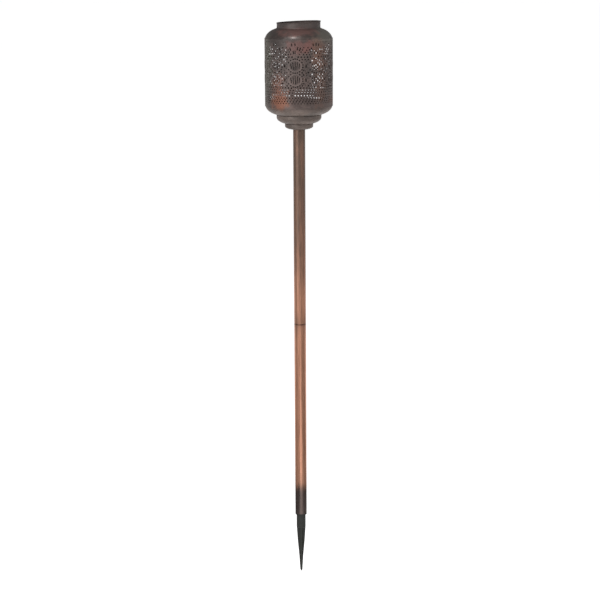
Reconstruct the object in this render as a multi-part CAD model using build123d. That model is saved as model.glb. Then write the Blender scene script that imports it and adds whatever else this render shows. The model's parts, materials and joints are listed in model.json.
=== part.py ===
from build123d import *
import os
from math import acos, cos, degrees, radians, sin

# Garden torch: a punched lantern head with a hanging oil canister, on a two-piece pole and a spike.
# Millimetres, +Z up. The origin is on the pole's axis at ground level, where the bottom end of the
# lower pole meets the ground stake.

# ---------- driving dimensions ----------
SHEET = 0.8                  # spun and rolled head parts
CUP_SHEET = 0.9              # bowl and cups under the lantern
EDGE = 0.6                   # broken edges of tube ends

# Pole
POLE_RADIUS = 16.0           # 32 mm tube
POLE_WALL = 0.9
SECTION_LENGTH = 543.0       # each of the two pole sections, spigot apart
SPIGOT_LENGTH = 60.0
SPIGOT_CLEARANCE = 0.05      # radial, running fit
PLUG_CLEARANCE = 0.06        # radial, stake plug in the lower pole

# Ground stake
STAKE_PLUG_LENGTH = 45.0
STAKE_FLANGE_RADIUS = 15.9
STAKE_FLANGE = 2.5
STAKE_NECK_RADIUS = 12.65
STAKE_NECK_END = -41.0
STAKE_TIP = -172.0
BLADE_HALF_WIDTHS = (        # (z, half width) down a blade, above the tip
    (-40.0, 12.3),
    (-80.0, 9.8),
    (-127.0, 5.5),
    (-166.5, 3.1),
)
BLADE_THICKNESS = 3.6

# Cups under the lantern
SOCKET_RADIUS = 37.4
SOCKET_BOTTOM = 1072.3
SOCKET_BEND = 1080.6
SOCKET_BRIM = 1086.9
SOCKET_HOLE_RADIUS = 16.3
STEP_RADIUS = 59.3
STEP_FLOOR_RADIUS = 20.5
STEP_BEND = 1104.0
STEP_BRIM = 1110.3
BOWL_FLOOR = 1109.0
BOWL_FLOOR_RADIUS = 40.0
BOWL_BEND = 1137.0           # inside the wall

# Lantern wall
WALL_RADIUS = 89.5
WALL_BOTTOM = 1134.5
WALL_TOP = 1311.0
LAP_WIDTH = 7.0              # overlap of the rolled sheet, at the back
LAP_ANGLE = 12.1             # degrees from +Y towards -X
SKIRT = 9.0                  # depth of bowl and dome tucked inside the wall
SKIRT_GAP = 0.1              # radial

# Shoulder and neck
DOME_CENTRE_RADIUS = 42.0
DOME_BEND = 1306.0           # inside the wall
DOME_HEIGHT = 32.0           # above the bend
NECK_RADIUS = 57.1
NECK_BLEND = 4.0
RIM_TOP = 1353.0
LIP_BEAD = 1.4               # radius of the rolled lip
LIP_SLOPE = 2.3              # degrees, the lip rises towards +X

# Canister
RING_SHELF_RADIUS = 48.0
RING_TOP = 1344.0
SHELF_TOP = 1326.0           # the canister's flange rests here
CAN_RADIUS = 32.5
CAN_SHEET = 0.5
CAN_BOTTOM = 1184.0
LID_RADIUS = 54.5
LID_EDGE_HEIGHT = 4.0
LID_SKIRT_DEPTH = 8.0
LID_HOLE_RADIUS = 10.8
CAN_FIT = 0.1                # lid skirt and base inside the can, radial

# Burner
GASKET_RADIUS = 14.5
GASKET_THICKNESS = 1.2
BURNER_FLANGE_RADIUS = 15.0
BURNER_FLANGE = 1.5
BURNER_NECK_RADIUS = 10.4
BURNER_TUBE_RADIUS = 7.4
BURNER_TUBE_TOP = 1335.0
BURNER_TUBE_BOTTOM = 1300.0
WICK_RADIUS = 6.3
WICK_CLEARANCE = 0.08
WICK_TOP = 1338.0
WICK_BOTTOM = 1190.0

# Snuffer
SNUFFER_RADIUS = 12.0
SNUFFER_SHEET = 0.6
SNUFFER_TOP = 1346.0
KNOB_RADIUS = 3.6
KNOB_HEIGHT = 3.2
RIVET_RADIUS = 1.5
RIVET_HEAD_RADIUS = 2.4
RIVET_HEAD = 0.7
RIVET_CLEARANCE = 0.05

# Head bolt, M8
BOLT_RADIUS = 4.0
BOLT_LENGTH = 60.0
BOLT_HOLE_RADIUS = 4.5
HEX_ACROSS_FLATS = 13.0
BOLT_HEAD_HEIGHT = 5.3
NUT_HEIGHT = 6.5
THREAD_GAP = 0.05
WASHER_RADIUS = 12.0
WASHER_THICKNESS = 1.6
LOCK_WASHER_RADIUS = 7.0
LOCK_WASHER_THICKNESS = 2.0
LOCK_WASHER_GAP = 1.5        # the split in the spring washer
PLUG_SKIRT = 19.0
PLUG_DISC = 1.2

# Derived places
POLE_BORE = POLE_RADIUS - POLE_WALL
SEAM = SECTION_LENGTH
POLE_TOP = 2 * SECTION_LENGTH
SKIRT_RADIUS = WALL_RADIUS - SHEET - SKIRT_GAP
NECK_BORE = NECK_RADIUS - SHEET
LIP_CUT = RIM_TOP + 5.0      # the neck's tube before its end is cut to the lip's slope
LID_TOP = SHELF_TOP + SHEET
FLANGE_BOTTOM = LID_TOP + GASKET_THICKNESS
FLANGE_TOP = FLANGE_BOTTOM + BURNER_FLANGE
WASHER_BOTTOM = BOWL_FLOOR + CUP_SHEET
LOCK_WASHER_BOTTOM = WASHER_BOTTOM + WASHER_THICKNESS
BOLT_SEAT = LOCK_WASHER_BOTTOM + LOCK_WASHER_THICKNESS
PLUG_UNDERSIDE = POLE_TOP - PLUG_DISC


# ---------- helpers ----------
def turned(outline):
    """Solid of revolution about Z. The outline is a list of (radius, z) points or of edges."""
    if isinstance(outline[0], tuple):
        outline = [Polyline(*outline, close=True)]
    return revolve(Plane.XZ * make_face(outline), axis=Axis.Z)


def ring(inner_radius, outer_radius, bottom, top):
    """Plain ring or tube."""
    return turned([(inner_radius, bottom), (outer_radius, bottom), (outer_radius, top), (inner_radius, top)])


def on_ellipse(centre, radii, angle):
    """Point (radius, z) on an ellipse, at an angle in degrees."""
    return (centre[0] + radii[0] * cos(radians(angle)), centre[1] + radii[1] * sin(radians(angle)))


def spun_cup(brim_radius, brim, bend, floor_radius, floor, hole_radius, sheet):
    """Cup spun from sheet, open at the top: upright brim, elliptical bend, flat floor with a hole."""
    centre = (floor_radius, bend)
    outer = (brim_radius - floor_radius, bend - floor)
    inner = (outer[0] - sheet, outer[1] - sheet)
    return turned([
        Line((hole_radius, floor), (floor_radius, floor)),
        EllipticalCenterArc(centre, *outer, start_angle=270, arc_size=90),
        Polyline((brim_radius, bend), (brim_radius, brim), (brim_radius - sheet, brim),
                 (brim_radius - sheet, bend)),
        EllipticalCenterArc(centre, *inner, start_angle=270, arc_size=90),
        Polyline((floor_radius, floor + sheet), (hole_radius, floor + sheet), (hole_radius, floor)),
    ])


# ---------- stake and pole ----------
def ground_stake():
    """Four tapering blades under a round neck, and a plug that fills the end of the lower pole."""
    plug_radius = POLE_BORE - PLUG_CLEARANCE
    lead = 1.5
    core = turned([
        (0, STAKE_NECK_END), (STAKE_NECK_RADIUS - 1, STAKE_NECK_END),
        (STAKE_NECK_RADIUS, STAKE_NECK_END + 1), (STAKE_NECK_RADIUS, -STAKE_FLANGE),
        (STAKE_FLANGE_RADIUS, -STAKE_FLANGE), (STAKE_FLANGE_RADIUS, 0), (plug_radius, 0),
        (plug_radius, STAKE_PLUG_LENGTH - lead), (plug_radius - lead, STAKE_PLUG_LENGTH),
        (0, STAKE_PLUG_LENGTH),
    ])
    right = [(half_width, z) for z, half_width in BLADE_HALF_WIDTHS]
    left = [(-half_width, z) for half_width, z in reversed(right)]
    blade_outline = make_face(Polyline(*right, (0, STAKE_TIP), *left, close=True))
    blade = extrude(Plane.XZ * blade_outline, amount=BLADE_THICKNESS / 2, both=True)
    return core + blade + Rot(0, 0, 90) * blade


def lower_pole():
    """Tube whose top end is swaged down to a spigot for the upper pole."""
    spigot = POLE_BORE - SPIGOT_CLEARANCE
    top = SEAM + SPIGOT_LENGTH
    slope = 3.0
    return turned([
        (POLE_BORE, 0), (POLE_RADIUS - EDGE, 0), (POLE_RADIUS, EDGE), (POLE_RADIUS, SEAM - EDGE),
        (POLE_RADIUS - EDGE, SEAM), (spigot, SEAM), (spigot, top - 1), (spigot - EDGE, top),
        (spigot - POLE_WALL, top), (spigot - POLE_WALL, SEAM + 1), (POLE_BORE, SEAM + 1 - slope),
    ])


def upper_pole():
    """Plain tube, both ends with broken edges."""
    return turned([
        (POLE_BORE, SEAM), (POLE_RADIUS - EDGE, SEAM), (POLE_RADIUS, SEAM + EDGE),
        (POLE_RADIUS, POLE_TOP - EDGE), (POLE_RADIUS - EDGE, POLE_TOP), (POLE_BORE, POLE_TOP),
    ])


def pole_top_plug():
    """Pressed cup, flush with the top of the pole, with a hole for the head bolt."""
    skirt_end = POLE_TOP - PLUG_SKIRT
    skirt_bore = POLE_BORE - CUP_SHEET
    return turned([
        (BOLT_HOLE_RADIUS, PLUG_UNDERSIDE), (skirt_bore, PLUG_UNDERSIDE), (skirt_bore, skirt_end),
        (POLE_BORE, skirt_end), (POLE_BORE, POLE_TOP), (BOLT_HOLE_RADIUS, POLE_TOP),
    ])


# ---------- bolt stack ----------
def hexagon(bottom, height):
    """Hexagonal bar of the bolt's and the nut's width across flats."""
    profile = RegularPolygon(HEX_ACROSS_FLATS / 2, side_count=6, major_radius=False)
    return extrude(Pos(0, 0, bottom) * profile, amount=height)


def weld_nut():
    """Nut welded under the plug; its bore clears the bolt by a thread's play."""
    bottom = PLUG_UNDERSIDE - NUT_HEIGHT
    bore = Pos(0, 0, bottom + NUT_HEIGHT / 2) * Cylinder(BOLT_RADIUS + THREAD_GAP, NUT_HEIGHT)
    return hexagon(bottom, NUT_HEIGHT) - bore


def head_bolt():
    """Hexagon bolt from the floor of the bowl down into the weld nut."""
    tip = BOLT_SEAT - BOLT_LENGTH
    shank = turned([
        (0, tip), (BOLT_RADIUS - 1, tip), (BOLT_RADIUS, tip + 1), (BOLT_RADIUS, BOLT_SEAT), (0, BOLT_SEAT),
    ])
    return shank + hexagon(BOLT_SEAT, BOLT_HEAD_HEIGHT)


def lock_washer():
    """Spring washer with its split."""
    whole = ring(BOLT_RADIUS + 0.2, LOCK_WASHER_RADIUS, LOCK_WASHER_BOTTOM, BOLT_SEAT)
    split = Pos(LOCK_WASHER_RADIUS, 0, LOCK_WASHER_BOTTOM) * Box(
        2 * LOCK_WASHER_RADIUS, LOCK_WASHER_GAP, 3 * LOCK_WASHER_THICKNESS
    )
    return whole - split


# ---------- lantern ----------
def lower_bowl():
    """Bowl that closes the lantern; its brim is tucked inside the wall."""
    return spun_cup(SKIRT_RADIUS, WALL_BOTTOM + SKIRT, BOWL_BEND, BOWL_FLOOR_RADIUS, BOWL_FLOOR,
                    BOLT_HOLE_RADIUS, CUP_SHEET)


def step_cup():
    """Middle cup, between the bowl and the top of the pole."""
    return spun_cup(STEP_RADIUS, STEP_BRIM, STEP_BEND, STEP_FLOOR_RADIUS, POLE_TOP,
                    BOLT_HOLE_RADIUS, CUP_SHEET)


def socket_cup():
    """Small cup around the top of the pole."""
    return spun_cup(SOCKET_RADIUS, SOCKET_BRIM, SOCKET_BEND, SOCKET_HOLE_RADIUS + 1, SOCKET_BOTTOM,
                    SOCKET_HOLE_RADIUS, CUP_SHEET)


def lantern_wall():
    """Rolled sheet, closed at the back by a lap; its punched pattern is left out here."""
    sheet = ring(WALL_RADIUS - SHEET, WALL_RADIUS, WALL_BOTTOM, WALL_TOP)
    outer = ring(WALL_RADIUS - SHEET / 2, WALL_RADIUS + SHEET, WALL_BOTTOM, WALL_TOP)
    strip = Pos(0, WALL_RADIUS, (WALL_BOTTOM + WALL_TOP) / 2) * Box(
        LAP_WIDTH, 6 * SHEET, WALL_TOP - WALL_BOTTOM
    )
    return sheet + (outer & Rot(0, 0, LAP_ANGLE) * strip)


def neck_dome():
    """Shoulder and neck spun from one sheet, tucked inside the wall, with a sloping rolled lip on top."""
    centre = (DOME_CENTRE_RADIUS, DOME_BEND)
    outer = (SKIRT_RADIUS - DOME_CENTRE_RADIUS, DOME_HEIGHT)
    inner = (outer[0] - SHEET, outer[1] - SHEET)
    outer_end = degrees(acos((NECK_RADIUS - DOME_CENTRE_RADIUS) / outer[0]))
    inner_end = degrees(acos((NECK_BORE - DOME_CENTRE_RADIUS) / inner[0]))
    outer_foot = on_ellipse(centre, outer, outer_end)
    inner_foot = on_ellipse(centre, inner, inner_end)
    section = make_face([
        Polyline((SKIRT_RADIUS - SHEET, DOME_BEND), (SKIRT_RADIUS - SHEET, WALL_TOP - SKIRT),
                 (SKIRT_RADIUS, WALL_TOP - SKIRT), (SKIRT_RADIUS, DOME_BEND)),
        EllipticalCenterArc(centre, *outer, start_angle=0, arc_size=outer_end),
        Polyline(outer_foot, (NECK_RADIUS, LIP_CUT), (NECK_BORE, LIP_CUT), inner_foot),
        EllipticalCenterArc(centre, *inner, start_angle=0, arc_size=inner_end),
    ])
    blends = ((outer_foot, NECK_BLEND), (inner_foot, NECK_BLEND + SHEET))
    for foot, blend_radius in blends:
        corner = section.vertices().sort_by_distance((*foot, 0))[0]
        section = fillet(corner, blend_radius)
    slope = radians(LIP_SLOPE)
    lip = Plane(origin=(0, 0, RIM_TOP - LIP_BEAD), z_dir=(-sin(slope), 0, cos(slope)))
    shell = split(revolve(Plane.XZ * section, axis=Axis.Z), bisect_by=lip, keep=Keep.BOTTOM)
    return shell + lip * Torus(NECK_RADIUS - SHEET / 4, LIP_BEAD)


def canister_ring():
    """Angle ring soldered inside the neck; the canister hangs on its shelf."""
    wall = NECK_BORE - SKIRT_GAP
    shelf_bottom = SHELF_TOP - SHEET
    return turned([
        (RING_SHELF_RADIUS, shelf_bottom), (wall, shelf_bottom), (wall, RING_TOP),
        (wall - SHEET, RING_TOP), (wall - SHEET, SHELF_TOP), (RING_SHELF_RADIUS, SHELF_TOP),
    ])


# ---------- canister ----------
def canister_body():
    """Rolled tube of the fuel can."""
    return ring(CAN_RADIUS - CAN_SHEET, CAN_RADIUS, CAN_BOTTOM, SHELF_TOP)


def canister_base():
    """Disc with a turned-down edge, set into the bottom of the can."""
    edge = CAN_RADIUS - CAN_SHEET - CAN_FIT
    recess = 4.0
    disc_top = CAN_BOTTOM + recess
    return turned([
        (0, disc_top - SHEET), (edge - SHEET, disc_top - SHEET), (edge - SHEET, CAN_BOTTOM),
        (edge, CAN_BOTTOM), (edge, disc_top), (0, disc_top),
    ])


def canister_lid():
    """Top of the can: a dish whose flange rests on the ring, with a skirt inside the can."""
    skirt = CAN_RADIUS - CAN_SHEET - CAN_FIT
    skirt_end = SHELF_TOP - LID_SKIRT_DEPTH
    edge_top = SHELF_TOP + LID_EDGE_HEIGHT
    return turned([
        (LID_HOLE_RADIUS, SHELF_TOP), (skirt - SHEET, SHELF_TOP), (skirt - SHEET, skirt_end),
        (skirt, skirt_end), (skirt, SHELF_TOP), (LID_RADIUS, SHELF_TOP), (LID_RADIUS, edge_top),
        (LID_RADIUS - SHEET, edge_top), (LID_RADIUS - SHEET, LID_TOP), (LID_HOLE_RADIUS, LID_TOP),
    ])


# ---------- burner ----------
def burner_body():
    """Wick holder: flange, plug neck and wick tube in one turned piece."""
    bore = WICK_RADIUS + WICK_CLEARANCE
    neck_bottom = FLANGE_BOTTOM - 14
    cone_top = FLANGE_TOP + 2
    return turned([
        (bore, BURNER_TUBE_BOTTOM), (BURNER_TUBE_RADIUS, BURNER_TUBE_BOTTOM),
        (BURNER_TUBE_RADIUS, neck_bottom), (BURNER_NECK_RADIUS, neck_bottom),
        (BURNER_NECK_RADIUS, FLANGE_BOTTOM), (BURNER_FLANGE_RADIUS, FLANGE_BOTTOM),
        (BURNER_FLANGE_RADIUS, FLANGE_TOP), (BURNER_TUBE_RADIUS + 2, FLANGE_TOP),
        (BURNER_TUBE_RADIUS, cone_top), (BURNER_TUBE_RADIUS, BURNER_TUBE_TOP), (bore, BURNER_TUBE_TOP),
    ])


def burner_gasket():
    """Seal between the burner's flange and the lid."""
    return ring(BURNER_NECK_RADIUS + 0.2, GASKET_RADIUS, LID_TOP, FLANGE_BOTTOM)


def wick():
    """Round glass-fibre wick, straight down to near the bottom of the can."""
    return turned([
        (0, WICK_BOTTOM), (WICK_RADIUS, WICK_BOTTOM), (WICK_RADIUS, WICK_TOP - 1),
        (WICK_RADIUS - 1, WICK_TOP), (0, WICK_TOP),
    ])


# ---------- snuffer ----------
def snuffer_cap():
    """Cap over the wick; it stands on the burner's flange."""
    bore = SNUFFER_RADIUS - SNUFFER_SHEET
    roof = SNUFFER_TOP - SNUFFER_SHEET
    hole = RIVET_RADIUS + RIVET_CLEARANCE
    bevel = 1.5
    return turned([
        (bore, FLANGE_TOP), (SNUFFER_RADIUS, FLANGE_TOP), (SNUFFER_RADIUS, SNUFFER_TOP - bevel),
        (SNUFFER_RADIUS - bevel, SNUFFER_TOP), (hole, SNUFFER_TOP), (hole, roof),
        (bore - bevel, roof), (bore, roof - bevel),
    ])


def snuffer_knob():
    """Turned knob, its rivet passed through the cap and spread inside."""
    roof = SNUFFER_TOP - SNUFFER_SHEET
    top = SNUFFER_TOP + KNOB_HEIGHT
    waist = SNUFFER_TOP + KNOB_HEIGHT / 3
    return turned([
        (0, roof - RIVET_HEAD), (RIVET_HEAD_RADIUS, roof - RIVET_HEAD), (RIVET_HEAD_RADIUS, roof),
        (RIVET_RADIUS, roof), (RIVET_RADIUS, SNUFFER_TOP), (KNOB_RADIUS - 1, SNUFFER_TOP),
        (KNOB_RADIUS, waist), (KNOB_RADIUS, top - EDGE), (KNOB_RADIUS - EDGE, top), (0, top),
    ])


# ---------- parts ----------
parts = {
    "ground_stake": ground_stake(),
    "lower_pole": lower_pole(),
    "upper_pole": upper_pole(),
    "pole_top_plug": pole_top_plug(),
    "weld_nut": weld_nut(),
    "head_bolt": head_bolt(),
    "head_washer": ring(BOLT_RADIUS + 0.3, WASHER_RADIUS, WASHER_BOTTOM, LOCK_WASHER_BOTTOM),
    "lock_washer": lock_washer(),
    "socket_cup": socket_cup(),
    "step_cup": step_cup(),
    "lower_bowl": lower_bowl(),
    "lantern_wall": lantern_wall(),
    "neck_dome": neck_dome(),
    "canister_ring": canister_ring(),
    "canister_body": canister_body(),
    "canister_base": canister_base(),
    "canister_lid": canister_lid(),
    "burner_body": burner_body(),
    "burner_gasket": burner_gasket(),
    "wick": wick(),
    "snuffer_cap": snuffer_cap(),
    "snuffer_knob": snuffer_knob(),
}

os.makedirs("parts", exist_ok=True)
for node, shape in parts.items():
    export_step(shape, f"parts/{node}.step")
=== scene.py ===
import json
import math
import random

import bmesh
import bpy
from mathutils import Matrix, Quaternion, Vector, geometry


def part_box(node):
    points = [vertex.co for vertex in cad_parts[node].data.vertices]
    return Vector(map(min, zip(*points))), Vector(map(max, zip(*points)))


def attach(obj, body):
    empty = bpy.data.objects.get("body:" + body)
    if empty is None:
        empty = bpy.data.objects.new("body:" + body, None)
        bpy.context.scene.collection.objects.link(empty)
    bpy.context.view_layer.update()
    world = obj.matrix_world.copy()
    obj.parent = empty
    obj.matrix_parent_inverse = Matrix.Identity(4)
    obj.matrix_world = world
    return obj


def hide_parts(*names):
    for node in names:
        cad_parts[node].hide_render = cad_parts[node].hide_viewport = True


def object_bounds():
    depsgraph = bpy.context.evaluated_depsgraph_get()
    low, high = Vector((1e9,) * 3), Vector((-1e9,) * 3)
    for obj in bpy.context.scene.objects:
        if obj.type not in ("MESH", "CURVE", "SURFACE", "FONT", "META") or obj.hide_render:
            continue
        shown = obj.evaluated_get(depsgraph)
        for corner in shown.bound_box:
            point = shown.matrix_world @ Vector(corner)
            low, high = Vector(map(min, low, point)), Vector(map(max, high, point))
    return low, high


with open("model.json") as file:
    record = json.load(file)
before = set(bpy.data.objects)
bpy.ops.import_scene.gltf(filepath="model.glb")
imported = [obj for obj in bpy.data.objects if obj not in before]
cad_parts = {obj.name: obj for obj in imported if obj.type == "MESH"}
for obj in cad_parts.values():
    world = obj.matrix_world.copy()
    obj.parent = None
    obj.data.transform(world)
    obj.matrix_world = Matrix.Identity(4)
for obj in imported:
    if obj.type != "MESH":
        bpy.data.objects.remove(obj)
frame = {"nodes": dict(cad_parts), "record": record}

CAD_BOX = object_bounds()
LOW, HIGH = CAD_BOX
MM = 0.001
RIM_TOP = HIGH.z
GROUND_TIP = LOW.z

# ---------- camera, floor and light ----------
CAMERA_DISTANCE = 4.2        # from the pole's axis, straight in front
CAMERA_ABOVE_RIM = 0.1867
CAMERA_PITCH = math.radians(12.53)
CAMERA_ROLL = math.radians(-0.30)
CAMERA_LENS = 95.2           # mm
CAMERA_SENSOR = 36.0         # mm
CAMERA_CLIP = 200.0          # beyond the floor's far edge

FLOOR_RADIUS = 80.0
FLOOR_SIDES = 96
FLOOR_BELOW_TIP = 0.5 * MM
FLOOR_GREY = 0.9
FLOOR_ROUGHNESS = 0.9
FLOOR_GLOW = 0.78
CARD_ABOVE_TIP = 0.01
SURROUND_LIGHT = 0.25        # strength that lights the part
SURROUND_SEEN = 1.0          # strength that the camera sees past the floor's edge

# Cards on the floor: (name, near left corner, far right corner, grey, glow)
CARDS = (
    ("card_left", (-6.0, -6.0), (-0.24, 0.6), 0.15, 0.0),
    ("card_right", (0.34, -6.0), (6.0, 0.6), 0.18, 0.0),
    ("card_front", (-0.08, -2.4), (0.12, -0.25), 0.9, 1.5),
)

# Area lights: (name, place, point it faces, size, watts)
MIDDLE = (0, 0, (RIM_TOP + GROUND_TIP) / 2)
LIGHTS = (
    ("key_strip", (-1.55, -1.75, 1.25), (0, 0, 0.95), (0.35, 1.9), 28),
    ("fill_softbox", (2.4, -2.6, 1.6), MIDDLE, (1.6, 2.0), 14),
    ("side_softbox", (2.35, -0.9, 1.3), MIDDLE, (1.5, 2.0), 7),
    ("top_softbox", (-0.86, -2.08, 3.6), (0, 0, 1.3), (0.45, 0.25), 48),
)


def add_object(name, data):
    thing = bpy.data.objects.new(name, data)
    bpy.context.scene.collection.objects.link(thing)
    return thing


def add_camera():
    data = bpy.data.cameras.new("camera")
    data.sensor_width = CAMERA_SENSOR
    data.lens = CAMERA_LENS
    data.clip_end = CAMERA_CLIP
    camera = add_object("camera", data)
    camera.location = (0, -CAMERA_DISTANCE, RIM_TOP + CAMERA_ABOVE_RIM)
    pitch = Quaternion((1, 0, 0), math.pi / 2 - CAMERA_PITCH)
    roll = Quaternion((0, 0, 1), CAMERA_ROLL)
    camera.rotation_mode = "QUATERNION"
    camera.rotation_quaternion = pitch @ roll
    bpy.context.scene.camera = camera


def add_area(name, location, target, size, power):
    data = bpy.data.lights.new(name, "AREA")
    data.shape = "RECTANGLE"
    data.size, data.size_y = size
    data.energy = power
    light = add_object(name, data)
    light.location = location
    direction = Vector(target) - Vector(location)
    light.rotation_euler = direction.to_track_quat("-Z", "Y").to_euler()


def flat_object(name, make_face, material_name, grey, roughness, glow):
    """One flat face in a plain grey that may glow white. make_face adds the face to a bmesh."""
    bm = bmesh.new()
    make_face(bm)
    mesh = bpy.data.meshes.new(name)
    bm.to_mesh(mesh)
    bm.free()
    material = bpy.data.materials.new(material_name)
    material.use_nodes = True
    shader = material.node_tree.nodes["Principled BSDF"]
    shader.inputs["Base Color"].default_value = (grey, grey, grey, 1)
    shader.inputs["Roughness"].default_value = roughness
    shader.inputs["Emission Color"].default_value = (1, 1, 1, 1)
    shader.inputs["Emission Strength"].default_value = glow
    mesh.materials.append(material)
    return add_object(name, mesh)


def add_floor():
    def disc(bm):
        bmesh.ops.create_circle(bm, cap_ends=True, radius=FLOOR_RADIUS, segments=FLOOR_SIDES)

    floor = flat_object("floor", disc, "pale_floor", FLOOR_GREY, FLOOR_ROUGHNESS, FLOOR_GLOW)
    floor.location.z = GROUND_TIP - FLOOR_BELOW_TIP


def add_card(name, low, high, grey, glow):
    """A card on the floor that only reflections see."""
    def square(bm):
        bmesh.ops.create_grid(bm, x_segments=1, y_segments=1, size=0.5)

    card = flat_object(name, square, name, grey, 1.0, glow)
    card.scale = (high[0] - low[0], high[1] - low[1], 1)
    card.location = ((low[0] + high[0]) / 2, (low[1] + high[1]) / 2, GROUND_TIP + CARD_ABOVE_TIP)
    card.visible_camera = False
    card.visible_diffuse = False
    card.visible_shadow = False


def add_world():
    """A dim white surround that lights the part, and looks plain white past the floor's edge."""
    world = bpy.data.worlds.new("studio")
    bpy.context.scene.world = world
    world.use_nodes = True
    nodes, links = world.node_tree.nodes, world.node_tree.links
    background = nodes["Background"]
    background.inputs["Color"].default_value = (1, 1, 1, 1)
    path = nodes.new("ShaderNodeLightPath")
    strength = nodes.new("ShaderNodeMapRange")
    strength.inputs["To Min"].default_value = SURROUND_LIGHT
    strength.inputs["To Max"].default_value = SURROUND_SEEN
    links.new(path.outputs["Is Camera Ray"], strength.inputs["Value"])
    links.new(strength.outputs["Result"], background.inputs["Strength"])


def add_studio():
    scene = bpy.context.scene
    scene.view_settings.view_transform = "Standard"
    scene.view_settings.look = "None"
    add_world()
    add_floor()
    for card in CARDS:
        add_card(*card)
    for light in LIGHTS:
        add_area(*light)


# ---------- materials ----------
PATCH_SOFT = 0.5             # how far a patch fades, as a share of its radius
PATCH_BREAK_UP = 3.0         # how far noise moves its edge, likewise
PATCH_SCALE = 55.0


class Graph:
    """A material's node tree, with one call for each kind of node it uses."""

    def __init__(self, name):
        self.material = bpy.data.materials.new(name)
        self.material.use_nodes = True
        self.nodes = self.material.node_tree.nodes
        self.links = self.material.node_tree.links
        self.shader = self.nodes["Principled BSDF"]
        self.place = self.nodes.new("ShaderNodeTexCoord").outputs["Object"]
        self.split = self.nodes.new("ShaderNodeSeparateXYZ")
        self.links.new(self.place, self.split.inputs["Vector"])

    def feed(self, socket, value):
        if hasattr(value, "is_linked"):
            self.links.new(value, socket)
        elif socket.type == "RGBA":
            socket.default_value = (*value, 1)
        else:
            socket.default_value = value

    def set(self, **values):
        for name, value in values.items():
            self.feed(self.shader.inputs[name.replace("_", " ")], value)

    def axis(self, name):
        return self.split.outputs[name]

    def vector(self, operation, a, b):
        node = self.nodes.new("ShaderNodeVectorMath")
        node.operation = operation
        self.feed(node.inputs[0], a)
        self.feed(node.inputs[1], b)
        return node.outputs["Value" if operation == "LENGTH" else "Vector"]

    def math(self, operation, a, b=0.0):
        node = self.nodes.new("ShaderNodeMath")
        node.operation = operation
        self.feed(node.inputs[0], a)
        self.feed(node.inputs[1], b)
        return node.outputs["Value"]

    def noise(self, scale, detail=4.0, roughness=0.55, stretch=(1, 1, 1)):
        node = self.nodes.new("ShaderNodeTexNoise")
        node.inputs["Scale"].default_value = scale
        node.inputs["Detail"].default_value = detail
        node.inputs["Roughness"].default_value = roughness
        self.links.new(self.vector("MULTIPLY", self.place, stretch), node.inputs["Vector"])
        return node.outputs["Fac"]

    def range(self, value, low, high, to_low=0.0, to_high=1.0):
        node = self.nodes.new("ShaderNodeMapRange")
        node.interpolation_type = "SMOOTHSTEP"
        self.feed(node.inputs["Value"], value)
        limits = {"From Min": low, "From Max": high, "To Min": to_low, "To Max": to_high}
        for name, number in limits.items():
            node.inputs[name].default_value = number
        return node.outputs["Result"]

    def ramp(self, value, stops):
        """Smooth grey curve through (place, height) stops, all from 0 to 1."""
        node = self.nodes.new("ShaderNodeValToRGB")
        node.color_ramp.interpolation = "B_SPLINE"
        elements = node.color_ramp.elements
        elements[0].position = stops[0][0]
        elements[1].position = stops[-1][0]
        for place, _ in stops[1:-1]:
            elements.new(place)
        for element, (_, height) in zip(elements, stops):
            element.color = (height, height, height, 1)
        self.feed(node.inputs["Fac"], value)
        return node.outputs["Color"]

    def mix(self, share, a, b):
        node = self.nodes.new("ShaderNodeMix")
        node.data_type = "RGBA"
        colours = [s for s in node.inputs if s.type == "RGBA"]
        self.feed(node.inputs["Factor"], share)
        self.feed(colours[0], a)
        self.feed(colours[1], b)
        return [s for s in node.outputs if s.type == "RGBA"][0]

    def swing(self, noise, size):
        """A noise moved to swing around zero, times size."""
        return self.math("MULTIPLY", self.math("SUBTRACT", noise, 0.5), size)

    def bump(self, height, strength, distance):
        node = self.nodes.new("ShaderNodeBump")
        node.inputs["Strength"].default_value = strength
        node.inputs["Distance"].default_value = distance
        self.feed(node.inputs["Height"], height)
        self.links.new(node.outputs["Normal"], self.shader.inputs["Normal"])

    def patch(self, centre, radii):
        """Share from 1 inside an ellipsoid at centre to 0 outside, its edge broken up by noise."""
        away = self.vector("DIVIDE", self.vector("SUBTRACT", self.place, centre), radii)
        distance = self.vector("LENGTH", away, (0, 0, 0))
        ragged = self.math("ADD", distance, self.swing(self.noise(PATCH_SCALE), PATCH_BREAK_UP))
        return self.range(ragged, 1.0 + PATCH_SOFT, 1.0 - PATCH_SOFT)


def wall_point(degrees_right, z, radius=0.09):
    """Place on the lantern wall: degrees to the right of straight ahead, and height in metres."""
    angle = math.radians(degrees_right)
    return (radius * math.sin(angle), -radius * math.cos(angle), z)


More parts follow.
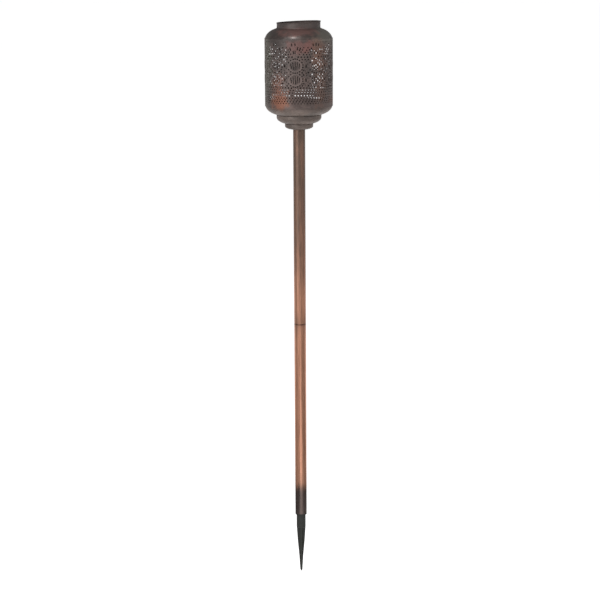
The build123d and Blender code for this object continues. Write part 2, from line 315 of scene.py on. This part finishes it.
# Patches on the head where the brown coat is worn, wiped or thicker or copper shows, and painted
# light: painted shade on the left shoulder and left flank, painted grey reflection on the right
# shoulder and along the left edge: (centre, radii, colour, share)
HEAD_COAT_AND_PAINTED_LIGHT = (
    # painted shade on the left shoulder
    (wall_point(-50, 1.325), (0.035, 0.06, 0.030), (0.030, 0.024, 0.022), 0.8),
    # painted grey reflection on the right shoulder
    (wall_point(52, 1.325), (0.030, 0.06, 0.024), (0.135, 0.130, 0.110), 0.7),
    # painted shade on the left flank, darkening the side that the key light brightens
    (wall_point(-48, 1.245), (0.050, 0.06, 0.075), (0.045, 0.034, 0.031), 0.5),
    (wall_point(0, 1.329, 0.07), (0.050, 0.06, 0.010), (0.165, 0.080, 0.070), 0.6),
    (wall_point(8, 1.163), (0.050, 0.06, 0.020), (0.045, 0.028, 0.025), 0.6),
    (wall_point(-33, 1.152), (0.021, 0.05, 0.024), (0.210, 0.076, 0.041), 0.75),
    (wall_point(-38, 1.190), (0.014, 0.04, 0.030), (0.18, 0.078, 0.052), 0.6),
    (wall_point(16, 1.294), (0.013, 0.03, 0.015), (0.17, 0.070, 0.060), 0.7),
    (wall_point(34, 1.275), (0.018, 0.05, 0.036), (0.15, 0.072, 0.048), 0.6),
    (wall_point(-6, 1.290), (0.022, 0.03, 0.018), (0.15, 0.070, 0.062), 0.6),
    (wall_point(38, 1.20), (0.014, 0.05, 0.060), (0.13, 0.070, 0.050), 0.5),
    # painted grey reflection along the left edge of the wall
    (wall_point(-80, 1.23), (0.03, 0.04, 0.1), (0.085, 0.085, 0.066), 0.6),
    (wall_point(150, 1.25), (0.04, 0.04, 0.05), (0.20, 0.085, 0.055), 0.6),
    (wall_point(-140, 1.17), (0.04, 0.04, 0.03), (0.20, 0.085, 0.055), 0.6),
    (wall_point(100, 1.15), (0.04, 0.04, 0.02), (0.20, 0.085, 0.055), 0.5),
)


def medallion_outline(g):
    """Share of the worn edge along the pressed outlines of the medallions."""
    turn = g.math("ARCTAN2", g.axis("X"), g.math("MULTIPLY", g.axis("Y"), -1.0))
    from_lap = g.math("ADD", turn, 4 * math.pi - LAP_TURN)  # two whole turns keep it above zero
    around = g.math("MULTIPLY", from_lap, WALL_RADIUS)
    side = g.math("SUBTRACT", g.math("MODULO", around, TILE), COLUMN)
    height = g.math("MULTIPLY", g.axis("Z"), 1 / MM)
    nearest = 1.0
    for middle, half_height in MEDALLIONS:
        across = g.math("DIVIDE", side, MEDALLION_HALF_WIDTH - RIDGE_INSET)
        up = g.math("DIVIDE", g.math("SUBTRACT", height, middle), half_height - RIDGE_INSET)
        squares = g.math("ADD", g.math("POWER", across, 2.0), g.math("POWER", up, 2.0))
        away = g.math("ABSOLUTE", g.math("SUBTRACT", g.math("SQRT", squares), 1.0))
        nearest = g.math("MINIMUM", nearest, away)
    return g.range(nearest, 0.11, 0.03)


# Colours of the head, and the heights between which it changes
COAT = ((0.052, 0.041, 0.038), (0.098, 0.070, 0.063))       # dark and light
COAT_RINGS = (0.125, 0.090, 0.078)
COAT_RUBBED = (0.17, 0.11, 0.09)
COAT_SPECKS = (0.035, 0.028, 0.026)
CUPS = ((0.088, 0.069, 0.060), (0.160, 0.122, 0.104))       # dark and light
CUPS_FADE = (1.137, 1.124)
OUTLINE_WORN = (0.200, 0.155, 0.145)
NECK_DARK = (0.045, 0.036, 0.034)
NECK_FADE = (1.332, 1.338)
SMOOTH_BAND_FOOT = (1.309, 1.314)                           # a smoother band on the shoulder
SMOOTH_BAND_HEAD = (1.332, 1.320)


def head_patina():
    g = Graph("head_patina")
    clouds = g.noise(16.0, 5.0, 0.6)
    fine = g.noise(150.0, 5.0, 0.65)
    specks = g.noise(420.0, 3.0, 0.6)
    rings = g.noise(1.0, 4.0, 0.6, stretch=(3, 3, 260))
    cloudy = g.range(clouds, 0.32, 0.66)
    base = g.mix(cloudy, *COAT)
    base = g.mix(g.range(rings, 0.45, 0.75, 0.0, 0.35), base, COAT_RINGS)
    base = g.mix(g.range(fine, 0.52, 0.74, 0.0, 0.45), base, COAT_RUBBED)
    # These patches paint real wear of the coat, and also painted shade and painted reflections.
    for centre, radii, colour, share in HEAD_COAT_AND_PAINTED_LIGHT:
        where = g.math("MULTIPLY", g.patch(centre, radii), share)
        base = g.mix(where, base, colour)
    height = g.axis("Z")
    base = g.mix(g.range(height, *CUPS_FADE, 0.0, 0.85), base, g.mix(cloudy, *CUPS))
    base = g.mix(g.range(specks, 0.60, 0.72, 0.0, 0.6), base, COAT_SPECKS)
    worn = g.math("MULTIPLY", medallion_outline(g), g.range(clouds, 0.3, 0.6, 0.08, 0.36))
    base = g.mix(worn, base, OUTLINE_WORN)
    base = g.mix(g.range(height, *NECK_FADE, 0.0, 0.5), base, NECK_DARK)
    foot, head = g.range(height, *SMOOTH_BAND_FOOT), g.range(height, *SMOOTH_BAND_HEAD)
    smooth = g.math("MULTIPLY", g.math("MULTIPLY", foot, head), 0.17)
    roughness = g.math("SUBTRACT", g.range(fine, 0.3, 0.7, 0.48, 0.64), smooth)
    g.set(Base_Color=base, Metallic=0.35, Roughness=roughness)
    g.bump(g.math("ADD", fine, g.math("MULTIPLY", specks, 0.5)), 0.3, 0.0005)
    return g.material


# Share of bright copper up the pole: (height / pole height, share)
POLE_COPPER = (
    (0.0, 0.20), (0.045, 0.25), (0.072, 0.60), (0.105, 0.95), (0.20, 1.0), (0.42, 1.0),
    (0.47, 0.95), (0.508, 0.55), (0.555, 0.95), (0.60, 0.58), (0.66, 0.42), (0.78, 0.25),
    (1.0, 0.16),
)
POLE_BROWN, POLE_BRIGHT = (0.120, 0.084, 0.066), (0.58, 0.285, 0.185)
POLE_SPECKS = (0.06, 0.035, 0.03)
POLE_FOOT = (0.085, 0.068, 0.064)
POLE_FOOT_FADE = (0.102, 0.070)      # shares of the pole's height
# A near-black band on both tubes around their seam: painted shade of the groove between them.
SEAM_PAINTED_SHADE = (0.045, 0.022, 0.02)
SEAM_PAINTED_SHADE_FADE = (0.0065, 0.0025)   # metres from the seam
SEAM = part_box("upper_pole")[0].z
POLE_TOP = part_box("upper_pole")[1].z


def pole_patina():
    g = Graph("pole_patina")
    height = g.math("DIVIDE", g.axis("Z"), POLE_TOP)
    streaks = g.noise(120.0, 5.0, 0.6, stretch=(1, 1, 0.07))
    clouds = g.noise(24.0, 4.0, 0.6, stretch=(1, 1, 0.5))
    fine = g.noise(500.0, 4.0, 0.6)
    copper = g.ramp(height, POLE_COPPER)
    worn = g.math("ADD", copper, g.swing(streaks, 0.9))
    worn = g.math("ADD", worn, g.swing(clouds, 0.5))
    base = g.mix(g.range(worn, 0.0, 1.1), POLE_BROWN, POLE_BRIGHT)
    base = g.mix(g.range(fine, 0.58, 0.72, 0.0, 0.5), base, POLE_SPECKS)
    foot = g.range(g.math("ADD", height, g.math("MULTIPLY", clouds, 0.03)), *POLE_FOOT_FADE)
    base = g.mix(g.math("MULTIPLY", foot, 0.85), base, POLE_FOOT)
    # Painted shade: the colour goes near black within a few mm of the seam, fading out by about
    # 6.5 mm.
    near_seam = g.math("ABSOLUTE", g.math("SUBTRACT", g.axis("Z"), SEAM))
    seam_shade_mask = g.math("ADD", near_seam, g.math("MULTIPLY", g.noise(260.0), 0.006))
    base = g.mix(g.range(seam_shade_mask, *SEAM_PAINTED_SHADE_FADE, 0.0, 0.85), base, SEAM_PAINTED_SHADE)
    streaky = g.range(streaks, 0.3, 0.7, 0.0, 0.12)
    roughness = g.math("ADD", streaky, g.range(copper, 0.2, 0.9, 0.46, 0.31))
    roughness = g.math("SUBTRACT", roughness, g.math("MULTIPLY", foot, 0.18))
    g.set(Base_Color=base, Metallic=0.85, Roughness=roughness)
    g.bump(g.math("ADD", streaks, g.math("MULTIPLY", fine, 0.4)), 0.2, 0.0004)
    return g.material


def stake_plastic():
    g = Graph("stake_plastic")
    grain = g.noise(420.0, 3.0)
    soil = g.noise(60.0, 5.0, 0.65)
    base = g.mix(grain, (0.012, 0.013, 0.011), (0.022, 0.023, 0.019))
    base = g.mix(g.range(soil, 0.52, 0.72, 0.0, 0.5), base, (0.045, 0.042, 0.032))
    g.set(Base_Color=base, Roughness=g.range(soil, 0.3, 0.7, 0.45, 0.7), Specular_IOR_Level=0.3)
    g.bump(grain, 0.15, 0.0003)
    return g.material


def plain_metal(name, dark, light, roughness, metallic=1.0):
    g = Graph(name)
    cloud = g.noise(70.0, 5.0)
    scratches = g.noise(300.0, 3.0, 0.6, stretch=(1, 1, 0.1))
    base = g.mix(cloud, dark, light)
    base = g.mix(g.range(scratches, 0.6, 0.75, 0.0, 0.3), base, tuple(c * 0.45 for c in dark))
    cloudy = g.range(cloud, 0.3, 0.7, roughness, roughness + 0.15)
    g.set(Base_Color=base, Metallic=metallic, Roughness=cloudy)
    g.bump(g.math("ADD", g.noise(600.0, 3.0), scratches), 0.1, 0.0002)
    return g.material


def soft_matte(name, dark, light, scale):
    g = Graph(name)
    grain = g.noise(scale, 5.0)
    g.set(Base_Color=g.mix(grain, dark, light), Roughness=0.85)
    g.bump(grain, 0.3, 0.0004)
    return g.material


WICK_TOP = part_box("wick")[1].z


def wick_fibre():
    """White glass fibre, charred where it burns and yellowed by oil below that."""
    g = Graph("glass_fibre")
    grain = g.noise(900.0, 4.0, stretch=(1, 1, 0.4))
    depth = g.math("SUBTRACT", WICK_TOP, g.axis("Z"))
    edge = g.math("ADD", depth, g.math("MULTIPLY", g.noise(300.0), 0.004))
    base = g.mix(grain, (0.42, 0.36, 0.24), (0.66, 0.60, 0.45))
    base = g.mix(g.range(edge, 0.012, 0.004), base, (0.03, 0.025, 0.02))
    g.set(Base_Color=base, Roughness=0.9)
    g.bump(grain, 0.4, 0.0003)
    return g.material


def paint_nodes(materials):
    for part in frame["record"]["subparts"]:
        mesh = frame["nodes"][part["node"]].data
        mesh.materials.clear()
        mesh.materials.append(materials[part["material_slot"]])


# ---------- the punched wall ----------
WALL_LOW, WALL_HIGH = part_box("lantern_wall")
# This section is in mm on the unrolled sheet: u runs round from the lap, v is the height.
SHEET = 0.8                          # the metal's thickness
WALL_RADIUS = WALL_HIGH.x / MM
WALL_BOTTOM = WALL_LOW.z / MM
WALL_TOP = WALL_HIGH.z / MM
AROUND = 2 * math.pi * WALL_RADIUS
TILES = 10                           # repeats of the pattern
TILE = AROUND / TILES
COLUMN = TILE / 2                    # from a medallion to the almonds beside it
LAP_TURN = math.pi + math.radians(12.1)      # angle of the lap from straight ahead
LAP_WIDTH = 7.0
LAP_CLEAR = LAP_WIDTH / 2 + 1.6      # no hole comes nearer to the lap

MEDALLIONS = ((1243.8, 18.4), (1207.9, 18.4))        # (middle, half height)
MEDALLION_HALF_WIDTH = 20.3
MEDALLION_HOLES = (18, 1.9)          # around it: (count, radius)
OGEE_PINCH = 0.3                     # how much narrower a ring of holes is at its ends
INNER_GAP = 6.9                      # from a medallion's ring of holes to its slots
SLOT_COLUMNS = range(-2, 3)
SLOT_SPACING = 5.3
SLOT_RADIUS = 1.05
SLOT_LEAN = math.radians(4)          # for each column from the middle
RIDGE_INSET = 3.8                    # from a medallion's ring of holes to the crest of its outline
RIDGE_HALF_WIDTH = 2.2
RIDGE_HEIGHT = 0.4
RIDGE_POINTS = 44                    # around one outline

ALMOND_HALF_WIDTH = 5.4
ALMOND_SHARE = 0.72                  # an almond's height over its medallion's
ALMOND_HOLES = (8, 1.3)              # around it: (count, radius)

PALMETTE_FOOT = 1272.0
PALMETTE_POINT = PALMETTE_FOOT - 14.0        # its slots spread from here
# Tiers of slots: (distance from the point, half length, count, spread, radius)
PALMETTE_TIERS = (
    (17.5, 3.4, 3, math.radians(12), 1.2),
    (27.6, 3.4, 5, math.radians(24), 1.3),
    (37.8, 2.6, 5, math.radians(24), 1.3),
)
PALMETTE_SIDES = math.radians(35)            # the rows of round holes beside the tiers
PALMETTE_SIDE_HOLES = (20.0, 26.5, 33.0, 39.5)
PALMETTE_CORNER = 1292.0                     # plain beside the palmette from here up

# Rows of round holes: (height, holes in a tile, radius, shift in spacings)
ROWS = (
    (1304.5, 11, 0.9, 0.0),
    (1266.8, 7, 2.1, 0.0),
    (1181.8, 7, 1.65, 0.38),
    (1175.3, 7, 1.7, 0.15),
    (1168.2, 7, 1.55, -0.085),
    (1161.4, 7, 1.7, 0.15),
    (1157.0, 7, 1.5, 0.65),
    (1152.4, 7, 1.8, 0.38),
    (1147.4, 7, 1.5, -0.1),
)
FILLING_STEP = 5.6
FILLING_HOLES = 7                    # in a tile

HOLE_SIDES = 10
HOLE_SHIFT = 0.2                     # most that a hole is off its place, each way
HOLE_TURN = 0.05                     # and off its angle
HOLE_SIZE = (0.92, 1.08)             # and its radius, as shares
MIN_BRIDGE = 1.15                    # metal left between two holes
DIMPLE = 1.3                         # radius of a hole's dished edge, over its own
DISH = 0.18                          # depth of that edge
CELL = 13.0                          # side of the squares that holes are looked up by


class Punches:
    """Holes as (u, v, radius, half length, turn). One too close to another is left out."""

    def __init__(self, seed):
        self.holes = []
        self.cells = {}
        self.random = random.Random(seed)
        self.middle = 0.0            # of the tile in hand

    def circles(self, hole):
        """A round hole is one circle, and a slot is three in a row."""
        u, v, radius, half, turn = hole
        for along in ((0.0,) if half == 0 else (-half, 0.0, half)):
            yield u + along * math.sin(turn), v + along * math.cos(turn), radius

    def near(self, u, v):
        column, row = int(u // CELL), int(v // CELL)
        for i in (column - 1, column, column + 1):
            for j in (row - 1, row, row + 1):
                yield from self.cells.get((i, j), ())

    def clear(self, u, v, radius, gap):
        for other in self.near(u, v):
            for other_u, other_v, other_radius in self.circles(other):
                if math.hypot(u - other_u, v - other_v) < radius + other_radius + gap:
                    return False
        return LAP_CLEAR < u - radius and u + radius < AROUND - LAP_CLEAR

    def punch(self, u, v, radius, half=0.0, turn=0.0):
        """Adds a hole at u from the middle of the tile in hand, unless it comes too close."""
        draw = self.random.uniform
        u = self.middle + u + draw(-HOLE_SHIFT, HOLE_SHIFT)
        v = v + draw(-HOLE_SHIFT, HOLE_SHIFT)
        radius = radius * draw(*HOLE_SIZE)
        hole = (u, v, radius, half, turn + draw(-HOLE_TURN, HOLE_TURN))
        if all(self.clear(*circle, MIN_BRIDGE) for circle in self.circles(hole)):
            self.holes.append(hole)
            self.cells.setdefault((int(u // CELL), int(v // CELL)), []).append(hole)

    def row(self, v, count, radius, shift, keep_out=None):
        """Round holes across the tile in hand, moved along by a share of their spacing."""
        for i in range(count):
            u = (i + 0.5 + shift) * TILE / count - COLUMN
            if keep_out is None or not keep_out(u, v):
                self.punch(u, v, radius)

    def ogee(self, u, v, half_width, half_height, count, radius):
        """A ring of holes that narrows towards its top and bottom."""
        for i in range(count):
            angle = 2 * math.pi * (i + 0.5) / count
            pinch = 1 - OGEE_PINCH * math.sin(angle) ** 4
            across = half_width * math.cos(angle) * pinch
            self.punch(u + across, v + half_height * math.sin(angle), radius)

    def fan(self, u, v, inner, half, count, spread, radius):
        """Slots that spread upwards from a point."""
        for i in range(count):
            turn = spread * (2 * i / (count - 1) - 1)
            reach = inner + half
            self.punch(u + reach * math.sin(turn), v + reach * math.cos(turn), radius, half, turn)


def inside_shape(u, v):
    """Whether a place is in a medallion or an almond, where no filling row goes."""
    side = COLUMN - abs(u)
    for middle, half_height in MEDALLIONS:
        up = v - middle
        if math.hypot(u / (MEDALLION_HALF_WIDTH - 1), up / (half_height - 1)) < 1:
            return True
        if math.hypot(side / (ALMOND_HALF_WIDTH + 1), up / (half_height * ALMOND_SHARE)) < 1:
            return True
    return False


def ridge_line(offset):
    """Places along the medallions' pressed outlines, offset mm from the crest."""
    for k in range(TILES):
        for middle, half_height in MEDALLIONS:
            for i in range(RIDGE_POINTS):
                angle = 2 * math.pi * i / RIDGE_POINTS
                across = MEDALLION_HALF_WIDTH - RIDGE_INSET + offset
                up = half_height - RIDGE_INSET + offset
                yield TILE * (k + 0.5) + across * math.cos(angle), middle + up * math.sin(angle)


def ridge(u, v):
    """Height of the pressed outline at a place on the sheet."""
    side = u % TILE - COLUMN
    height = 0.0
    for middle, half_height in MEDALLIONS:
        across, up = MEDALLION_HALF_WIDTH - RIDGE_INSET, half_height - RIDGE_INSET
        away = abs(math.hypot(side / across, (v - middle) / up) - 1) * (across + up) / 2
        height = max(height, RIDGE_HEIGHT * (1 - min(1.0, away / RIDGE_HALF_WIDTH) ** 2))
    return height


def inside_palmette(u, v):
    """Whether a place is in a palmette, or in the plain corner above the filling rows."""
    return abs(u) < 0.7 * (v - PALMETTE_POINT) + 1 or v > PALMETTE_CORNER


# Filling rows between the shapes: (lowest height, rows, radius, where they leave room)
FILLINGS = ((1187.8, 14, 2.0, inside_shape), (1273.0, 4, 1.8, inside_palmette))


def medallion(punches, middle, half_height):
    """A ring of holes around upright slots that lean outwards."""
    punches.ogee(0, middle, MEDALLION_HALF_WIDTH, half_height, *MEDALLION_HOLES)
    for column in SLOT_COLUMNS:
        u = SLOT_SPACING * column
        share = u / (MEDALLION_HALF_WIDTH - INNER_GAP)
        reach = (half_height - INNER_GAP) * math.sqrt(1 - share ** 2)
        punches.punch(u, middle, SLOT_RADIUS, reach - 1.4, SLOT_LEAN * column)


def almond(punches, middle, half_height):
    """A ring of small holes around one slot."""
    punches.punch(COLUMN, middle, 1.6, 2.8)
    height = half_height * ALMOND_SHARE
    punches.ogee(COLUMN, middle, ALMOND_HALF_WIDTH, height, *ALMOND_HOLES)


def palmette(punches):
    """Three tiers of slots that spread from a point, between two rows of holes."""
    for tier in PALMETTE_TIERS:
        punches.fan(0, PALMETTE_POINT, *tier)
    for turn in (-PALMETTE_SIDES, PALMETTE_SIDES):
        for reach in PALMETTE_SIDE_HOLES:
            punches.punch(reach * math.sin(turn), PALMETTE_POINT + reach * math.cos(turn), 1.7)


def pattern():
    """All the holes of the wall, the leading shapes first."""
    punches = Punches(7)
    between = (MEDALLIONS[0][0] + MEDALLIONS[1][0]) / 2
    tiles = [TILE * (k + 0.5) for k in range(TILES)]
    for punches.middle in tiles:
        for middle, half_height in MEDALLIONS:
            medallion(punches, middle, half_height)
            almond(punches, middle, half_height)
        palmette(punches)
        for side in (-1, 1):
            punches.punch(side * 5.0, between, 1.9)
        punches.punch(COLUMN, between, 1.8)
    for punches.middle in tiles:
        for row in ROWS:
            punches.row(*row)
    for punches.middle in tiles:
        for lowest, rows, radius, keep_out in FILLINGS:
            for j in range(rows):
                shift = 0.25 if j % 2 else -0.25
                height = lowest + FILLING_STEP * j
                punches.row(height, FILLING_HOLES, radius, shift, keep_out)
    return punches


def outline(hole, grow):
    """Corners of a hole, its radius times grow: a polygon, or two half rounds for a slot."""
    u, v, radius, half, turn = hole
    sides = HOLE_SIDES if half == 0 else HOLE_SIDES + 2
    corners = []
    for i in range(sides):
        if half == 0:
            angle = 2 * math.pi * (i + 0.5) / sides
            shift = 0.0
        else:
            end, step = divmod(i, sides // 2)
            angle = math.pi * (step / (sides // 2 - 1) + end)
            shift = -half if end else half
        x = radius * grow * math.cos(angle)
        y = radius * grow * math.sin(angle) + shift
        corners.append((
            u + x * math.cos(turn) + y * math.sin(turn),
            v - x * math.sin(turn) + y * math.cos(turn),
        ))
    return corners


def steps(start, end, count):
    """Places that divide start to end into count equal steps, both ends included."""
    return [start + (end - start) * i / count for i in range(count + 1)]


SHEET_ACROSS = steps(0.0, AROUND, 120)
SHEET_UP = steps(WALL_BOTTOM, WALL_TOP, 36)
GRID_CLEAR = 2.0                     # from a hole to the nearest plain point of the mesh
RIDGE_CLEAR = 0.9                    # and to the nearest point of an outline
JOIN = 1e-5                          # points nearer than this are one in the triangulation


def sheet_triangles(loops, punches):
    """Flat points and triangles of the sheet with a hole in every loop."""
    points = [(u, WALL_BOTTOM) for u in SHEET_ACROSS]
    points += [(AROUND, v) for v in SHEET_UP[1:]]
    points += [(u, WALL_TOP) for u in reversed(SHEET_ACROSS[:-1])]
    points += [(0.0, v) for v in reversed(SHEET_UP[1:-1])]
    faces = [list(range(len(points)))]
    for loop in loops:
        faces.append(list(range(len(points), len(points) + len(loop))))
        points += loop
    for u in SHEET_ACROSS[1:-1]:
        for v in SHEET_UP[1:-1]:
            if punches.clear(u, v, 0.0, GRID_CLEAR) or not LAP_CLEAR < u < AROUND - LAP_CLEAR:
                points.append((u, v))
    for share in (-1.0, -0.5, 0.0, 0.5, 1.0):
        line = ridge_line(share * RIDGE_HALF_WIDTH)
        points += [place for place in line if punches.clear(*place, 0.0, RIDGE_CLEAR)]
    corners = [Vector(point) for point in points]
    result = geometry.delaunay_2d_cdt(corners, [], faces, 1, JOIN, True)
    flat, triangles, origins = result[0], result[2], result[5]
    kept = [tuple(face) for face, origin in zip(triangles, origins) if max(origin) == 0]
    return [(point.x, point.y) for point in flat], kept


def sheet_mesh(punches):
    """Points (u, v, depth) and faces: both skins, the dished holes and the two long edges."""
    rings = [outline(hole, DIMPLE) for hole in punches.holes]
    edges = [outline(hole, 1.0) for hole in punches.holes]
    points = []
    faces = []

    def add(loop, depth):
        points.extend((u, v, depth) for u, v in loop)
        return range(len(points) - len(loop), len(points))

    for loops, depth, turn_over in ((rings, 0.0, False), (edges, SHEET, True)):
        flat, triangles = sheet_triangles(loops, punches)
        start = add(flat, depth)[0]
        for triangle in triangles:
            corners = [start + i for i in triangle]
            faces.append(corners[::-1] if turn_over else corners)
    for ring, edge in zip(rings, edges):
        layers = (add(ring, 0.0), add(edge, DISH), add(edge, SHEET))
        for upper, lower in zip(layers, layers[1:]):
            for i in range(len(ring)):
                j = (i + 1) % len(ring)
                faces.append([upper[i], upper[j], lower[j], lower[i]])
    for v, turn_over in ((WALL_TOP, False), (WALL_BOTTOM, True)):
        outer = add([(u, v) for u in SHEET_ACROSS], 0.0)
        inner = add([(u, v) for u in SHEET_ACROSS], SHEET)
        for i in range(len(SHEET_ACROSS) - 1):
            corners = [outer[i], outer[i + 1], inner[i + 1], inner[i]]
            faces.append(corners[::-1] if turn_over else corners)
    return points, faces


WELDS = 7
WELD_RADIUS = 2.4
WELD_DENT = 0.32
LAP_ROUNDED = 0.2                    # how far the lap's long edges are rounded in
LAP_UNDER = 0.05                     # the lap's inner side is this deep in the sheet


def lap_depth(u, v, welds):
    """Depth of the lap's outer side, dented by its spot welds."""
    edge = min(u + LAP_WIDTH / 2, LAP_WIDTH / 2 - u)
    away = min(math.hypot(u, v - weld) for weld in welds)
    dent = WELD_DENT * max(0.0, 1 - (away / WELD_RADIUS) ** 2)
    return -SHEET + dent + (LAP_ROUNDED if edge < 0.1 else 0.0)


def lap_mesh():
    """The free edge of the sheet lies over its other end, held by a row of spot welds."""
    columns = steps(-LAP_WIDTH / 2, LAP_WIDTH / 2, 10)
    rows = steps(WALL_BOTTOM, WALL_TOP, 144)
    height = WALL_TOP - WALL_BOTTOM
    welds = [WALL_BOTTOM + height * (k + 0.5) / WELDS for k in range(WELDS)]
    points = [(u, v, lap_depth(u, v, welds)) for u in columns for v in rows]
    top = len(points)
    points += [(u, v, LAP_UNDER) for u in columns for v in rows]
    count = len(rows)
    faces = []
    for i in range(len(columns) - 1):
        for j in range(count - 1):
            a, b = i * count + j, (i + 1) * count + j
            faces.append([a, b, b + 1, a + 1])
            faces.append([top + a + 1, top + b + 1, top + b, top + a])
    last = (len(columns) - 1) * count
    for j in range(count - 1):
        faces.append([j, j + 1, top + j + 1, top + j])
        faces.append([top + last + j, top + last + j + 1, last + j + 1, last + j])
    for i in range(len(columns) - 1):
        a, b = i * count, (i + 1) * count
        faces.append([a, top + a, top + b, b])
        a, b = a + count - 1, b + count - 1
        faces.append([b, top + b, top + a, a])
    return points, faces


def on_wall(u, v, depth):
    """A flat point (u, v) on the wall, depth mm in from its outer face, in metres."""
    angle = LAP_TURN + u / WALL_RADIUS
    radius = (WALL_RADIUS - depth + ridge(u, v)) * MM
    return (radius * math.sin(angle), -radius * math.cos(angle), v * MM)


DOUBLE = 0.002 * MM                  # points nearer than this are joined


def finish_mesh(name, points, faces, material, sharp_degrees):
    """An object from points and faces, its doubled points joined and its sharp edges kept."""
    mesh = bpy.data.meshes.new(name)
    mesh.from_pydata(points, [], faces)
    bm = bmesh.new()
    bm.from_mesh(mesh)
    bmesh.ops.remove_doubles(bm, verts=bm.verts, dist=DOUBLE)
    bmesh.ops.recalc_face_normals(bm, faces=bm.faces)
    bm.to_mesh(mesh)
    bm.free()
    mesh.shade_smooth()
    mesh.set_sharp_from_angle(angle=math.radians(sharp_degrees))
    mesh.materials.append(material)
    return add_object(name, mesh)


def build_wall(material):
    points, faces = sheet_mesh(pattern())
    lap_points, lap_faces = lap_mesh()
    start = len(points)
    points += lap_points
    faces += [[start + i for i in face] for face in lap_faces]
    rolled = [on_wall(*point) for point in points]
    wall = finish_mesh("punched_wall", rolled, faces, material, 35)
    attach(wall, "torch_top")
    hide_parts("lantern_wall")


# ---------- the braided wick ----------
BRAID_AROUND = 72
BRAID_STRANDS = 9
BRAID_PITCH = 11.0           # mm, one strand's rise in one turn, over the number of strands
BRAID_DEPTH = 0.5
BRAID_STEP = 0.5             # mm between the rings of its mesh
FRAY_HEIGHT = 1.5            # its top narrows over this height
FRAY_DEPTH = 0.7             # and by this much
WICK_HOLLOW = 0.4            # how far the middle of its top is sunk


def build_wick(material):
    low, high = (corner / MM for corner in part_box("wick"))
    radius = high.x
    rows = int((high.z - low.z) / BRAID_STEP)
    points = []
    for j in range(rows + 1):
        z = low.z + (high.z - low.z) * j / rows
        climb = 2 * math.pi * z / BRAID_PITCH
        fray = max(0.0, 1 - (high.z - z) / FRAY_HEIGHT)
        for i in range(BRAID_AROUND):
            angle = 2 * math.pi * i / BRAID_AROUND
            across = BRAID_STRANDS * angle
            over = math.cos(across + climb) * math.cos(across - climb)
            r = radius - BRAID_DEPTH * (0.5 - 0.5 * over) - FRAY_DEPTH * fray ** 2
            points.append((r * math.cos(angle) * MM, r * math.sin(angle) * MM, z * MM))
    faces = []
    for j in range(rows):
        for i in range(BRAID_AROUND):
            k = (i + 1) % BRAID_AROUND
            a, b = j * BRAID_AROUND, (j + 1) * BRAID_AROUND
            faces.append([a + i, a + k, b + k, b + i])
    for ring_start, z in ((0, low.z), (rows * BRAID_AROUND, high.z - WICK_HOLLOW)):
        points.append((0, 0, z * MM))
        centre = len(points) - 1
        for i in range(BRAID_AROUND):
            faces.append([ring_start + i, ring_start + (i + 1) % BRAID_AROUND, centre])
    wick = finish_mesh("braided_wick", points, faces, material, 60)
    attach(wick, "wick")
    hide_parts("wick")


materials = {
    "head_patina": head_patina(),
    "pole_patina": pole_patina(),
    "stake_plastic": stake_plastic(),
    "zinc_steel": plain_metal("zinc_steel", (0.42, 0.42, 0.40), (0.6, 0.6, 0.58), 0.3),
    "can_steel": plain_metal("can_steel", (0.018, 0.016, 0.015), (0.035, 0.031, 0.028), 0.45, 0.3),
    "brass": plain_metal("brass", (0.42, 0.28, 0.10), (0.66, 0.48, 0.2), 0.28),
    "rubber": soft_matte("rubber", (0.015, 0.015, 0.015), (0.03, 0.03, 0.03), 500.0),
    "glass_fibre": wick_fibre(),
}
paint_nodes(materials)
build_wall(materials["head_patina"])
build_wick(materials["glass_fibre"])
add_studio()
add_camera()
